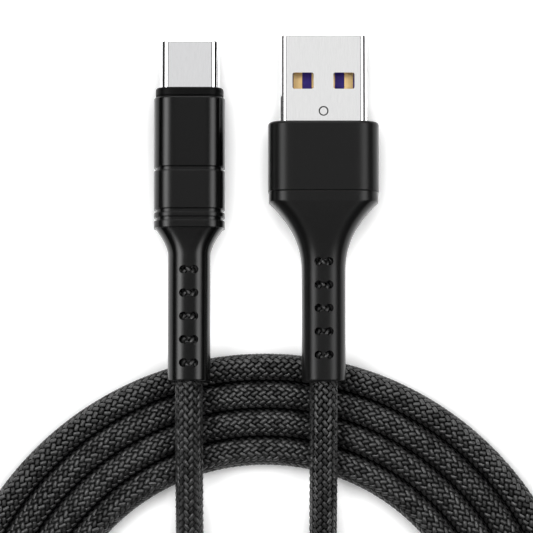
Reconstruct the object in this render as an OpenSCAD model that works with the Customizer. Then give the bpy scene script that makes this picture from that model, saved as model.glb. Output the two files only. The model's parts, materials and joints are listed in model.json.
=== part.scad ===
// Charging cable: a USB-A plug and a USB-C plug on one braided cord.
// The cord lies in a flat spiral coil; both plugs come back over the coil side by side.
// +X is right, +Y points the way the plugs point, +Z is up, and Z = 0 is the table.

/* [Cord] */
// Outer diameter of the braided cord
cord_d = 3.9; // [3.6:0.1:3.9]
// Distance between neighbouring turns of the coil
coil_pitch = 3.85; // [3.85:0.05:4.2]
// Radius of the innermost turn where it passes under the plugs' leads
coil_r = 31.4; // [31:0.1:32]
// Outer diameter of one insulated wire in the cord
wire_d = 0.8; // [0.6:0.05:0.9]

/* [Fits] */
// Clearance on each side between pieces that slide or seat into each other
fit = 0.05; // [0.03:0.01:0.08]

/* [USB-A plug] */
// Width of the steel shell
a_shell_w = 12.0; // [11.9:0.05:12.1]
// Thickness of the steel shell, over both flat faces
a_shell_h = 4.5; // [4.4:0.05:4.6]
// Corner radius of the steel shell
a_shell_r = 0.75; // [0.5:0.05:1]
// Sheet thickness of the steel shell
a_shell_wall = 0.3; // [0.25:0.01:0.35]
// Length of the shell that stands out of the housing
a_shell_out = 12.0; // [11.75:0.05:13.5]
// Length of the shell inside the housing
a_shell_in = 5.5; // [5:0.1:6]
// Width of a latch window in the shell
a_window_w = 2.9; // [2.3:0.1:3]
// Length of a latch window in the shell
a_window_l = 2.25; // [2:0.05:2.5]
// Distance from the plug's axis to the middle of a latch window
a_window_x = 2.8; // [2.5:0.05:3]
// Distance from the shell's mouth to the near edge of a latch window
a_window_y = 5.2; // [5:0.05:5.5]
// Diameter of the round dimple near the housing
a_dimple_d = 1.3; // [1:0.1:1.6]
// Distance from the housing to the middle of the dimple
a_dimple_y = 1.5; // [1.2:0.05:2]
// Thickness of the plastic tongue that carries the contacts
a_tongue_h = 1.84; // [1.7:0.02:1.9]
// Depth of the open mouth, from the shell's rim to the carrier's block
a_mouth_l = 9.2; // [9:0.1:9.6]
// Width of a contact strip
a_contact_w = 1.2; // [1:0.05:1.3]
// Thickness of a contact strip
a_contact_t = 0.25; // [0.2:0.01:0.3]
// Distance from the plug's axis to a data contact
a_data_x = 1.0; // [0.9:0.05:1.1]
// Distance from the plug's axis to a power contact
a_power_x = 3.5; // [3.4:0.05:3.6]
// Web of the moulded core beside the shell
a_web_side = 0.6; // [0.4:0.05:1.2]
// Web of the moulded core over and under the shell
a_web_top = 0.75; // [0.55:0.05:0.95]
// Corner radius of the housing, seen along the plug
a_body_r = 2.7; // [2.2:0.1:3.2]
// Rounding of the front sleeve's front edge
a_edge = 0.4; // [0.2:0.05:0.6]
// Wall of the metal front sleeve
a_sleeve_wall = 0.9; // [0.7:0.05:1]
// Thickness of the front sleeve's end wall round the shell
a_sleeve_front = 1.0; // [0.8:0.1:1.4]
// Length of the front sleeve
a_sleeve_l = 9.55; // [9.2:0.05:10.5]
// How far the rear piece stands in from the sleeve at their seam
a_seam = 0.1; // [0.05:0.05:0.2]
// Straight length of the rear piece behind the seam
a_rear_l = 1.4; // [1.2:0.1:2]
// Length of the concave flare from the housing down to the boot
a_flare_l = 9.7; // [9:0.1:11]
// Length of the boot
a_boot_l = 14.9; // [14.6:0.1:17]
// Width and thickness of the boot
a_boot_w = 6.0; // [5.8:0.1:6.4]
// Distance from the boot's end to its last slot
a_slot_end = 3.6; // [3.2:0.1:4]

/* [USB-C plug] */
// Width of the steel shell
c_shell_w = 8.25; // [8.2:0.01:8.34]
// Thickness of the steel shell, over both flat faces
c_shell_h = 2.4; // [2.36:0.01:2.44]
// Sheet thickness of the steel shell
c_shell_wall = 0.22; // [0.18:0.01:0.25]
// Length of the shell that stands out of the housing
c_shell_out = 6.65; // [6.5:0.05:7]
// Length of the shell inside the housing
c_shell_in = 5.1; // [4.8:0.1:5.4]
// Width of the slot for the socket's tongue
c_slot_w = 6.75; // [6.7:0.01:6.8]
// Height of the slot for the socket's tongue
c_slot_h = 0.9; // [0.8:0.02:1]
// Depth of the slot for the socket's tongue
c_slot_l = 6.2; // [6:0.1:6.4]
// Distance between neighbouring contact places
c_contact_pitch = 0.5; // [0.49:0.01:0.51]
// Width of a contact strip
c_contact_w = 0.25; // [0.2:0.01:0.28]
// Thickness of a contact strip
c_contact_t = 0.15; // [0.12:0.01:0.16]
// Web of the moulded core beside the shell
c_web_side = 0.175; // [0.15:0.025:0.6]
// Web of the moulded core over and under the shell
c_web_top = 1.45; // [1.1:0.05:1.7]
// Corner radius of the housing, seen along the plug
c_body_r = 2.3; // [2:0.1:2.6]
// Wall of the metal sleeves
c_sleeve_wall = 0.5; // [0.45:0.05:0.6]
// How far the front collar stands in from the sleeve
c_collar_in = 0.23; // [0.15:0.01:0.3]
// Length of the front collar
c_collar_l = 1.1; // [1:0.05:1.4]
// Length of the dark neck between the collar and the sleeve
c_neck_l = 0.22; // [0.15:0.01:0.3]
// Length of the front sleeve
c_front_l = 9.65; // [9:0.05:10.5]
// Length of the rear sleeve's long part
c_rear_l = 5.3; // [5:0.1:6]
// Length of the rear sleeve's thin ring
c_ring_l = 0.62; // [0.5:0.02:0.8]
// Length of the rear sleeve's last ring
c_end_ring_l = 1.0; // [0.8:0.05:1.4]
// Width of each ring groove in the sleeves
c_groove_w = 0.48; // [0.4:0.02:0.6]
// Depth of each ring groove in the sleeves
c_groove_depth = 0.3; // [0.2:0.05:0.35]
// Length of the concave flare from the housing down to the boot
c_flare_l = 3.6; // [3.2:0.1:4.4]
// Length of the boot
c_boot_l = 17.4; // [16.8:0.1:19]
// Width and thickness of the boot
c_boot_w = 5.85; // [5.6:0.05:6]
// Distance from the boot's end to its last slot
c_slot_end = 2.5; // [2.2:0.1:3]
// Length of the paddle board
c_board_l = 6.8; // [6.6:0.1:7]
// Width of the paddle board
c_board_w = 6.9; // [6.6:0.1:7]
// Thickness of the paddle board
c_board_t = 0.6; // [0.5:0.05:0.65]
// Room for the wires' bend between the cord's jacket and the board
c_wire_room = 2.1; // [1.9:0.1:2.6]
// How far the rear shield can stands in from the shell on each side
c_can_in = 0.22; // [0.15:0.01:0.3]
// How far the rear shield can stands over and under the shell
c_can_over = 0.5; // [0.4:0.05:0.6]

/* [Strain reliefs] */
// Corner radius of each boot, seen along the cord
boot_r = 2.2; // [1.8:0.1:2.6]
// Chamfer round the end of each boot
boot_edge = 0.25; // [0.1:0.05:0.4]
// Number of slots along each boot
slot_count = 5; // [1:1:5]
// Distance between neighbouring slots
slot_pitch = 3.18; // [2.4:0.02:3.2]
// Width of a slot, across the boot
slot_w = 2.6; // [2.2:0.05:3]
// Length of a slot's round ends, along the boot
slot_l = 1.12; // [0.9:0.02:1.3]
// Length of a slot's narrow waist, along the boot
slot_waist = 0.72; // [0.5:0.02:0.85]

/* [Hidden] */

$fn = 64;
cut = 1;                   // how far a cutter runs past the face that it opens
solder = 0.01;             // film of solder between a conductor and what it lies on
cord_r = cord_d / 2;

// Where the coil and the plugs lie. A plug's place is the middle of its boot's end.
coil_x = 0.6;
coil_y = -65;
a_x = 8;
c_x = -10.4;
boot_y = -23.9;

// Stations along the USB-A plug, from the boot's end at 0 to the shell's mouth.
a_flare_y = a_boot_l;
a_rear_y = a_flare_y + a_flare_l;
a_seam_y = a_rear_y + a_rear_l;
a_front_y = a_seam_y + a_sleeve_l;
a_tip_y = a_front_y + a_shell_out;
a_shell_y = a_front_y - a_shell_in;      // inner end of the shell
a_shield_y = a_seam_y - 0.8;             // rear wall of the back shield
a_barrel_l = 4.0;                        // crimp barrel behind the back shield
a_strip_y = a_shield_y + 0.4;            // where the cord's jacket ends
a_tail_l = 1.6;                          // solder tails behind the carrier
a_block_y = a_tip_y - a_mouth_l;         // front of the carrier's block
a_tongue_in = 0.4;                       // the tongue ends this far inside the mouth
a_groove = 0.15;                         // depth of a contact's groove in the tongue
a_body_w = a_shell_w + 2 * (2 * fit + a_web_side + a_sleeve_wall);
a_body_h = a_shell_h + 2 * (2 * fit + a_web_top + a_sleeve_wall);
a_in_w = a_shell_w - 2 * a_shell_wall;   // inside of the shell
a_in_h = a_shell_h - 2 * a_shell_wall;
a_in_r = a_shell_r - a_shell_wall;
a_tongue_top = -a_in_h / 2 + fit + a_tongue_h;
a_contact_z = a_tongue_top - a_groove;   // underside of the contacts
a_wire_z = a_contact_z + a_contact_t + wire_d / 2 + solder;
a_flare_power = 2.3;                     // how fast the flare draws in, across its width
a_thick_power = 1;                       // and across its thickness
a_dimple_depth = 0.14;
a_power_back = 1.4;                      // the outer contacts start this far inside the mouth
a_data_back = 1.0;                       // the inner contacts start this far behind the outer
joint_gap = 0.1;                         // between a wire's end and what it meets
wire_straight = 0.5;                     // each wire leaves the jacket straight for this length
wire_lap = 0.2;                          // wires stop this far short of the carrier

// Stations along the USB-C plug, from the boot's end at 0 to the shell's mouth.
c_flare_y = c_boot_l;
c_end_y = c_flare_y + c_flare_l;                         // last ring
c_ring_y = c_end_y + c_end_ring_l + c_groove_w;          // thin ring
c_rear_y = c_ring_y + c_ring_l + c_groove_w;             // rear sleeve's long part
c_seam_y = c_rear_y + c_rear_l + c_groove_w;             // front sleeve
c_neck_y = c_seam_y + c_front_l;
c_front_y = c_neck_y + c_neck_l + c_collar_l;
c_tip_y = c_front_y + c_shell_out;
c_shell_y = c_front_y - c_shell_in;
c_shell_r = c_shell_h / 2 - 0.02;
c_in_w = c_shell_w - 2 * c_shell_wall;
c_in_h = c_shell_h - 2 * c_shell_wall;
c_in_r = c_shell_r - c_shell_wall;
c_core_w = c_shell_w + 2 * (fit + c_web_side);
c_core_h = c_shell_h + 2 * (fit + c_web_top);
c_body_w = c_core_w + 2 * (fit + c_sleeve_wall);
c_body_h = c_core_h + 2 * (fit + c_sleeve_wall);
c_core_r = c_body_r - c_sleeve_wall - fit;
c_root_l = 1.2;                          // the relief's root inside the rear sleeve
c_core_y = c_end_y + c_root_l;
c_can_wall = 0.2;                        // rear shield can round the board
c_can_w = c_shell_w - 2 * c_can_in;
c_can_h = c_shell_h + 2 * c_can_over;
c_can_r = 0.8;
c_board_gap = 0.3;                       // between the board and the shell's inner end
c_board_y = c_shell_y - c_board_gap - c_board_l;
c_strip_y = c_board_y - c_wire_room;     // where the cord's jacket ends
c_can_y = c_strip_y - c_board_gap;
c_barrel_l = 3.0;
c_barrel_in = 1.2;                       // the can's rear wall, which the barrel runs through
c_resistor_l = 1.0;
c_resistor_t = 0.35;
c_pad_l = 1.8;                           // how far a wire runs along its pad on the board
c_wire_z = c_board_t / 2 + wire_d / 2 + solder;
c_flare_power = 1.6;
c_thick_power = 1.8;

barrel_wall = 0.2;                       // sheet of the crimp barrels round the cord
wire_step = 0.8;                         // wires side by side at the jacket's end
wire_in_x = [-1.5, -0.5, 0.5, 1.5] * wire_step;
a_wire_x = [-a_power_x, -a_data_x, a_data_x, a_power_x];
c_wire_x = [-2.4, -0.8, 0.8, 2.4];

// Contact places used in a charging plug, counted in steps from the middle of the row.
c_upper_places = [-5.5, -2.5, -1.5, -0.5, 0.5, 2.5, 5.5];
c_lower_places = [-5.5, -2.5, 1.5, 2.5, 5.5];

// Tilt of each plug: its boot lies on the outer turn, its front lower edge on the table.
function seat_tilt(boot_h, body_h, span) = asin((cord_d + boot_h / 2 - body_h / 2) / span);
a_rest_y = 1.1;                          // from the boot's end to the outer turn's crest
c_rest_y = 0.6;
a_tilt = seat_tilt(a_boot_w, a_body_h, a_front_y - a_rest_y);
c_tilt = seat_tilt(c_boot_w, c_body_h, c_neck_y - c_rest_y);
a_z = a_body_h / 2 * cos(a_tilt) + a_front_y * sin(a_tilt);
c_z = c_body_h / 2 * cos(c_tilt) + c_neck_y * sin(c_tilt);

// ---- Sections and sweeps ----

// Points of a rectangle w by h with corners of radius r.
corner_steps = 6;
function corner(x, y, r, from) =
    [for (i = [0 : corner_steps])
        let (a = from + 90 * i / corner_steps) [x + r * cos(a), y + r * sin(a)]];
function rounded(w, h, r) =
    let (x = w / 2 - r, y = h / 2 - r)
    concat(corner(x, y, r, 0), corner(-x, y, r, 90), corner(-x, -y, r, 180), corner(x, -y, r, 270));

// Triangles of a skin over rings of n points each, closed at both ends.
function skin(rings, n) = concat(
    [for (j = [0 : rings - 2]) for (i = [0 : n - 1]) [j * n + i, j * n + (i + 1) % n, (j + 1) * n + i]],
    [for (j = [0 : rings - 2]) for (i = [0 : n - 1])
        [j * n + (i + 1) % n, (j + 1) * n + (i + 1) % n, (j + 1) * n + i]],
    [for (i = [1 : n - 2]) [0, i + 1, i]],
    [for (i = [1 : n - 2]) let (b = (rings - 1) * n) [b, b + i, b + i + 1]]
);

// Extrudes a section that is drawn in X and Z along Y, from y to y + len.
module along(y, len) {
    translate([0, y, 0]) rotate([-90, 0, 0]) linear_extrude(len) mirror([0, 1]) children();
}

module bar(y, len, w, h, r) {
    along(y, len) polygon(rounded(w, h, r));
}

module rod(y, len, d) {
    along(y, len) circle(d = d);
}

// A skin over sections [y, w, h, r] in order along Y.
module loft(sections) {
    rings = [for (s = sections) [for (p = rounded(s[1], s[2], s[3])) [p[0], s[0], p[1]]]];
    n = len(rings[0]);
    polyhedron([for (r = rings) each r], skin(len(rings), n));
}

// A bar whose front edge, at y + len, is rounded off by edge.
module bar_with_edge(y, len, w, h, r, edge) {
    steps = 3;
    loft(concat(
        [[y, w, h, r]],
        [for (i = [0 : steps]) let (a = 90 * i / steps, in = edge * (1 - cos(a)))
            [y + len - edge + edge * sin(a), w - 2 * in, h - 2 * in, r - in]]
    ));
}

// Concave flare from the boot at y to a housing section w by h with corners r. Its width
// and its thickness draw in at their own powers of the way along.
module flare(y, len, boot_w, w, h, r, power, thick_power) {
    steps = 8;
    loft([for (i = [0 : steps]) let (t = i / steps)
        [y + len * t, boot_w + (w - boot_w) * pow(t, power),
         boot_w + (h - boot_w) * pow(t, thick_power), boot_r + (r - boot_r) * t]]);
}

// Straight boot from its end at 0, with a chamfer round that end.
module boot(len, w) {
    small = w - 2 * boot_edge;
    loft([[0, small, small, boot_r - boot_edge], [boot_edge, w, w, boot_r], [len, w, w, boot_r]]);
}

// A slot with two round ends and a narrow waist, cut right through the boot.
module boot_slots(first_y, boot_h) {
    depth = boot_h + 2 * cut;
    end_x = (slot_w - slot_l) / 2;
    for (i = [0 : slot_count - 1]) translate([0, first_y + i * slot_pitch, -depth / 2]) {
        for (side = [-1, 1]) translate([side * end_x, 0, 0]) cylinder(d = slot_l, h = depth);
        translate([-end_x, -slot_waist / 2, 0]) cube([2 * end_x, slot_waist, depth]);
    }
}

// Direction of a line at its point i, and the ring of points that stands square to it.
function unit(v) = v / norm(v);
function way(line, i) =
    unit((i == 0 ? [0, 0, 0] : unit(line[i] - line[i - 1]))
        + (i == len(line) - 1 ? [0, 0, 0] : unit(line[i + 1] - line[i])));
function ring_at(line, i, ring) =
    let (ahead = way(line, i), side = unit(cross(ahead, [0, 0, 1])), up = cross(side, ahead))
    [for (p = ring) line[i] + p[0] * side + p[1] * up];

module sweep(line, ring) {
    rings = [for (i = [0 : len(line) - 1]) ring_at(line, i, ring)];
    polyhedron([for (r = rings) each r], skin(len(rings), len(ring)));
}

// Eight-sided ring, flat side down.
sides = 8;
function round_ring(r) =
    [for (i = [0 : sides - 1]) let (a = (i + 0.5) * 360 / sides) r * [cos(a), sin(a)]];

// ---- USB-A plug, in its own frame: axis along Y, boot's end at 0 ----

module place_a() {
    translate([a_x, boot_y, a_z]) rotate([-a_tilt, 0, 0]) children();
}

// Cutter of a shallow round dimple with a sloped wall, on the side that faces up or down.
module dimple(side) {
    rotate([90 - 90 * side, 0, 0]) translate([0, 0, -a_dimple_depth])
        cylinder(d1 = a_dimple_d - 2 * a_dimple_depth, d2 = a_dimple_d + 2 * cut,
                 h = a_dimple_depth + cut);
}

module usb_a_shell() {
    color("silver") place_a() difference() {
        bar(a_shell_y, a_shell_in + a_shell_out, a_shell_w, a_shell_h, a_shell_r);
        bar(a_shell_y - cut, a_shell_in + a_shell_out + 2 * cut, a_in_w, a_in_h, a_in_r);
        for (side = [-1, 1])
            translate([side * a_window_x - a_window_w / 2,
                       a_tip_y - a_window_y - a_window_l, -a_shell_h])
                cube([a_window_w, a_window_l, 2 * a_shell_h]);
        for (side = [-1, 1])
            translate([0, a_front_y + a_dimple_y, side * a_shell_h / 2]) dimple(side);
    }
}

// Shape of one contact strip. The grow value makes the channel that it sits in.
module a_strip(x, front, grow = 0) {
    translate([x - a_contact_w / 2 - grow, a_shell_y - a_tail_l, a_contact_z - grow])
        cube([a_contact_w + 2 * grow, front - a_shell_y + a_tail_l + grow, a_contact_t + 2 * grow]);
}

a_power_front = a_tip_y - a_power_back;
a_data_front = a_power_front - a_data_back;

module usb_a_contact_carrier() {
    tongue_y = a_tip_y - a_tongue_in;
    color("midnightblue") place_a() difference() {
        union() {
            bar(a_shell_y, a_block_y - a_shell_y, a_in_w - 2 * fit, a_in_h - 2 * fit, a_in_r);
            translate([-a_in_w / 2 + fit + a_in_r, a_block_y, -a_in_h / 2 + fit])
                cube([a_in_w - 2 * fit - 2 * a_in_r, tongue_y - a_block_y, a_tongue_h]);
        }
        for (side = [-1, 1]) a_strip(side * a_power_x, a_power_front, fit);
        for (side = [-1, 1]) a_strip(side * a_data_x, a_data_front, fit);
    }
}

module usb_a_contact_power() {
    color("gold") place_a() a_strip(-a_power_x, a_power_front);
}

module usb_a_contact_data_minus() {
    color("gold") place_a() a_strip(-a_data_x, a_data_front);
}

module usb_a_contact_data_plus() {
    color("gold") place_a() a_strip(a_data_x, a_data_front);
}

module usb_a_contact_ground() {
    color("gold") place_a() a_strip(a_power_x, a_power_front);
}

// Steel box behind the shell with a crimp barrel round the cord.
module usb_a_back_shield() {
    barrel_d = cord_d + 2 * fit + 2 * barrel_wall;
    color("lightgray") place_a() difference() {
        union() {
            bar(a_shield_y, a_shell_y - a_shield_y, a_shell_w, a_shell_h, a_shell_r);
            rod(a_shield_y - a_barrel_l, a_barrel_l + fit, barrel_d);
        }
        bar(a_shield_y + a_shell_wall, a_shell_y - a_shield_y, a_in_w, a_in_h, a_in_r);
        rod(a_shield_y - a_barrel_l - cut, a_barrel_l + 2 * cut, cord_d + 2 * fit);
    }
}

function a_wire(i) = [
    [wire_in_x[i], a_strip_y, 0],
    [wire_in_x[i], a_strip_y + wire_straight, 0],
    [a_wire_x[i], a_shell_y - a_tail_l - joint_gap, a_wire_z],
    [a_wire_x[i], a_shell_y - wire_lap, a_wire_z]
];

// Soft mould that holds the solder joints inside the back shield.
module usb_a_solder_mould() {
    mould_y = a_strip_y + joint_gap;
    color("whitesmoke") place_a() difference() {
        bar(mould_y, a_shell_y - mould_y, a_in_w - 2 * fit, a_in_h - 2 * fit, a_in_r);
        for (i = [0 : 3])
            sweep(concat([a_wire(i)[0] - [0, cut, 0]], a_wire(i)), round_ring(wire_d / 2 + fit));
        for (x = a_wire_x) a_strip(x, a_shell_y + cut, fit);
    }
}

module usb_a_wire_red() { color("firebrick") place_a() sweep(a_wire(0), round_ring(wire_d / 2)); }
module usb_a_wire_white() { color("white") place_a() sweep(a_wire(1), round_ring(wire_d / 2)); }
module usb_a_wire_green() { color("seagreen") place_a() sweep(a_wire(2), round_ring(wire_d / 2)); }
module usb_a_wire_black() { color("black") place_a() sweep(a_wire(3), round_ring(wire_d / 2)); }

// Moulded core between the steel parts and the metal sleeve.
module usb_a_core() {
    front = a_front_y - a_sleeve_front - fit;
    wall = a_sleeve_wall + fit;
    color("dimgray") place_a() difference() {
        bar(a_seam_y, front - a_seam_y, a_body_w - 2 * wall, a_body_h - 2 * wall, a_body_r - wall);
        bar(a_seam_y - cut, front - a_seam_y + 2 * cut,
            a_shell_w + 2 * fit, a_shell_h + 2 * fit, a_shell_r + fit);
    }
}

module usb_a_front_sleeve() {
    color("dimgray") place_a() difference() {
        bar_with_edge(a_seam_y, a_sleeve_l, a_body_w, a_body_h, a_body_r, a_edge);
        bar(a_seam_y - cut, a_sleeve_l - a_sleeve_front + cut,
            a_body_w - 2 * a_sleeve_wall, a_body_h - 2 * a_sleeve_wall, a_body_r - a_sleeve_wall);
        bar(a_seam_y, a_sleeve_l + cut, a_shell_w + 2 * fit, a_shell_h + 2 * fit, a_shell_r + fit);
    }
}

module usb_a_strain_relief() {
    w = a_body_w - 2 * a_seam;
    h = a_body_h - 2 * a_seam;
    color("#1d1d1d") place_a() difference() {
        union() {
            boot(a_boot_l, a_boot_w);
            flare(a_flare_y, a_flare_l, a_boot_w, w, h, a_body_r - a_seam, a_flare_power,
                  a_thick_power);
            bar(a_rear_y, a_rear_l, w, h, a_body_r - a_seam);
        }
        rod(-cut, a_seam_y + 2 * cut, cord_d + 2 * fit);
        rod(a_shield_y - a_barrel_l - fit, a_barrel_l + cut, cord_d + 4 * fit + 2 * barrel_wall);
        bar(a_shield_y - fit, a_seam_y - a_shield_y + cut,
            a_shell_w + 2 * fit, a_shell_h + 2 * fit, a_shell_r + fit);
        boot_slots(a_slot_end, a_boot_w);
    }
}

module usb_a_cord_end() {
    color("#2a2a2a") place_a() rod(0, a_strip_y, cord_d);
}

// ---- USB-C plug, in its own frame: axis along Y, boot's end at 0 ----

module place_c() {
    translate([c_x, boot_y, c_z]) rotate([-c_tilt, 0, 0]) children();
}

module usb_c_shell() {
    color("silver") place_c() difference() {
        bar(c_shell_y, c_shell_in + c_shell_out, c_shell_w, c_shell_h, c_shell_r);
        bar(c_shell_y - cut, c_shell_in + c_shell_out + 2 * cut, c_in_w, c_in_h, c_in_r);
    }
}

// Side view of one spring contact: solder tail, step up, long arm and a bump that touches.
c_tail_z = c_board_t / 2 + c_contact_t / 2 + solder;
c_tail_l = 1.4;                          // solder tail behind the shell
c_rise_y = c_shell_y + 0.6;
c_rise_l = 0.6;
c_arm_z = c_slot_h / 2 + c_contact_t;
c_bump = 0.25;                           // height of the touching bump, and half its length
c_bump_half = 0.65;
c_bump_in = 1.95;                        // from the mouth back to the bump
c_bump_y = c_tip_y - c_bump_in;
c_contact_line = [
    [c_shell_y - c_tail_l, c_tail_z], [c_rise_y, c_tail_z], [c_rise_y + c_rise_l, c_arm_z],
    [c_bump_y - c_bump_half, c_arm_z], [c_bump_y, c_arm_z - c_bump], [c_bump_y + c_bump_half, c_arm_z]
];

module c_contact(place) {
    half = c_contact_t / 2;
    upper = [for (p = c_contact_line) p + [0, half]];
    lower = [for (i = [len(c_contact_line) - 1 : -1 : 0]) c_contact_line[i] - [0, half]];
    translate([place * c_contact_pitch - c_contact_w / 2, 0, 0])
        rotate([90, 0, 90]) linear_extrude(c_contact_w) polygon(concat(upper, lower));
}

module usb_c_upper_contacts() {
    color("gold") place_c() for (p = c_upper_places) c_contact(p);
}

module usb_c_lower_contacts() {
    color("gold") place_c() mirror([0, 0, 1]) for (p = c_lower_places) c_contact(p);
}

// Stamped latch: a bridge at the back and one arm with a hook on each side.
c_latch_t = 0.3;
c_latch_arm = 0.22;
c_latch_y = c_shell_y + 1.6;
c_latch_bridge = 1.2;
c_latch_hook = 0.2;
c_latch_hook_l = 0.6;
c_latch_x = c_slot_w / 2 + 0.08;
c_latch_in = 1.6;                        // from the mouth back to the hooks
c_latch_tip = c_tip_y - c_latch_in;
c_channel_in = 1.1;                      // from the mouth back to the contacts' channels
c_channel_tip = c_tip_y - c_channel_in;

module c_latch(grow = 0) {
    half = c_latch_x + c_latch_arm + grow;
    translate([-half, c_latch_y - grow, -c_latch_t / 2 - grow])
        cube([2 * half, c_latch_bridge + 2 * grow, c_latch_t + 2 * grow]);
    for (side = [0, 1]) mirror([side, 0, 0]) {
        translate([c_latch_x - grow, c_latch_y, -c_latch_t / 2 - grow])
            cube([c_latch_arm + 2 * grow, c_latch_tip - c_latch_y + grow, c_latch_t + 2 * grow]);
        translate([c_latch_x - c_latch_hook - grow, c_latch_tip - c_latch_hook_l - grow,
                   -c_latch_t / 2 - grow])
            cube([c_latch_hook + 2 * grow, c_latch_hook_l + 2 * grow, c_latch_t + 2 * grow]);
    }
}

module usb_c_latch_plate() {
    color("silver") place_c() c_latch();
}

module usb_c_contact_carrier() {
    back = c_shell_y + 0.5;
    front = c_tip_y - 0.2;
    channel_z = c_tail_z - c_contact_t;
    channel_h = c_arm_z + c_contact_t - channel_z;
    color("#202024") place_c() difference() {
        bar(back, front - back, c_in_w - 2 * fit, c_in_h - 2 * fit, c_in_r - fit);
        translate([-c_slot_w / 2, c_tip_y - c_slot_l, -c_slot_h / 2])
            cube([c_slot_w, c_slot_l + cut, c_slot_h]);
        c_latch(fit);
        translate([-c_latch_x - c_latch_arm, back - cut, -c_latch_t / 2 - fit])
            cube([2 * (c_latch_x + c_latch_arm), c_latch_y - back + 2 * cut, c_latch_t + 2 * fit]);
        for (p = c_upper_places)
            translate([p * c_contact_pitch - c_contact_w / 2 - fit, back - cut, channel_z])
                cube([c_contact_w + 2 * fit, c_channel_tip - back + cut, channel_h]);
        for (p = c_lower_places)
            translate([p * c_contact_pitch - c_contact_w / 2 - fit, back - cut, -channel_z - channel_h])
                cube([c_contact_w + 2 * fit, c_channel_tip - back + cut, channel_h]);
    }
}

module usb_c_board() {
    color("darkgreen") place_c() translate([-c_board_w / 2, c_board_y, -c_board_t / 2])
        cube([c_board_w, c_board_l, c_board_t]);
}

module usb_c_resistor() {
    size = [c_resistor_l, c_resistor_l / 2, c_resistor_t];
    color("black") place_c()
        translate([-size[0] / 2, c_board_y + c_board_l / 2 - size[1] / 2, c_board_t / 2]) cube(size);
}

// Steel can round the board with a crimp barrel round the cord.
module usb_c_rear_shield() {
    barrel_d = cord_d + 2 * fit + 2 * barrel_wall;
    color("lightgray") place_c() difference() {
        union() {
            bar(c_can_y, c_shell_y - c_can_y, c_can_w, c_can_h, c_can_r);
            rod(c_can_y - c_barrel_l, c_barrel_l + c_barrel_in, barrel_d);
        }
        bar(c_can_y + c_barrel_in, c_shell_y - c_can_y, c_can_w - 2 * c_can_wall,
            c_can_h - 2 * c_can_wall, c_can_r - c_can_wall);
        rod(c_can_y - c_barrel_l - cut, c_barrel_l + c_barrel_in + 2 * cut, cord_d + 2 * fit);
    }
}

function c_wire(i) = [
    [wire_in_x[i], c_strip_y, 0],
    [wire_in_x[i], c_strip_y + 2 * wire_straight, 0],
    [c_wire_x[i], c_board_y - wire_d / 2, c_wire_z],
    [c_wire_x[i], c_board_y + c_pad_l, c_wire_z]
];

module usb_c_wire_red() { color("firebrick") place_c() sweep(c_wire(0), round_ring(wire_d / 2)); }
module usb_c_wire_white() { color("white") place_c() sweep(c_wire(1), round_ring(wire_d / 2)); }
module usb_c_wire_green() { color("seagreen") place_c() sweep(c_wire(2), round_ring(wire_d / 2)); }
module usb_c_wire_black() { color("black") place_c() sweep(c_wire(3), round_ring(wire_d / 2)); }

// Moulded core between the steel parts and the metal sleeves.
module usb_c_core() {
    barrel_d = cord_d + 4 * fit + 2 * barrel_wall;
    color("dimgray") place_c() difference() {
        bar(c_core_y + fit, c_neck_y - c_core_y - fit, c_core_w, c_core_h, c_core_r);
        rod(c_core_y - cut, c_can_y + c_barrel_in + fit - c_core_y + cut, barrel_d);
        bar(c_can_y - fit, c_shell_y - c_can_y + 2 * fit,
            c_can_w + 2 * fit, c_can_h + 2 * fit, c_can_r + fit);
        bar(c_shell_y, c_shell_in + cut, c_shell_w + 2 * fit, c_shell_h + 2 * fit, c_shell_r + fit);
    }
}

// Dark front collar with a narrower neck behind it.
module usb_c_collar() {
    w = c_body_w - 2 * c_collar_in;
    h = c_body_h - 2 * c_collar_in;
    r = c_body_r - c_collar_in;
    edge = 0.25;
    neck = 0.2;
    color("#161616") place_c() difference() {
        union() {
            bar(c_neck_y, c_neck_l, w - 2 * neck, h - 2 * neck, r - neck);
            bar_with_edge(c_neck_y + c_neck_l, c_collar_l, w, h, r, edge);
        }
        bar(c_neck_y - cut, c_neck_l + c_collar_l + 2 * cut,
            c_shell_w + 2 * fit, c_shell_h + 2 * fit, c_shell_r + fit);
    }
}

// Bore of the two metal sleeves, which the core and the relief's root fill.
module c_sleeve_bore(y, len) {
    bar(y, len, c_core_w + 2 * fit, c_core_h + 2 * fit, c_core_r + fit);
}

module usb_c_front_sleeve() {
    edge = 0.2;
    color("#1a1a19") place_c() difference() {
        bar_with_edge(c_seam_y, c_front_l, c_body_w, c_body_h, c_body_r, edge);
        c_sleeve_bore(c_seam_y - cut, c_front_l + 2 * cut);
    }
}

module usb_c_rear_sleeve() {
    in = c_groove_depth;
    color("#1a1a19") place_c() difference() {
        union() {
            bar(c_end_y, c_seam_y - c_end_y, c_body_w - 2 * in, c_body_h - 2 * in, c_body_r - in);
            bar(c_end_y, c_end_ring_l, c_body_w, c_body_h, c_body_r);
            bar(c_ring_y, c_ring_l, c_body_w, c_body_h, c_body_r);
            bar(c_rear_y, c_rear_l, c_body_w, c_body_h, c_body_r);
        }
        c_sleeve_bore(c_end_y - cut, c_seam_y - c_end_y + 2 * cut);
    }
}

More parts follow.
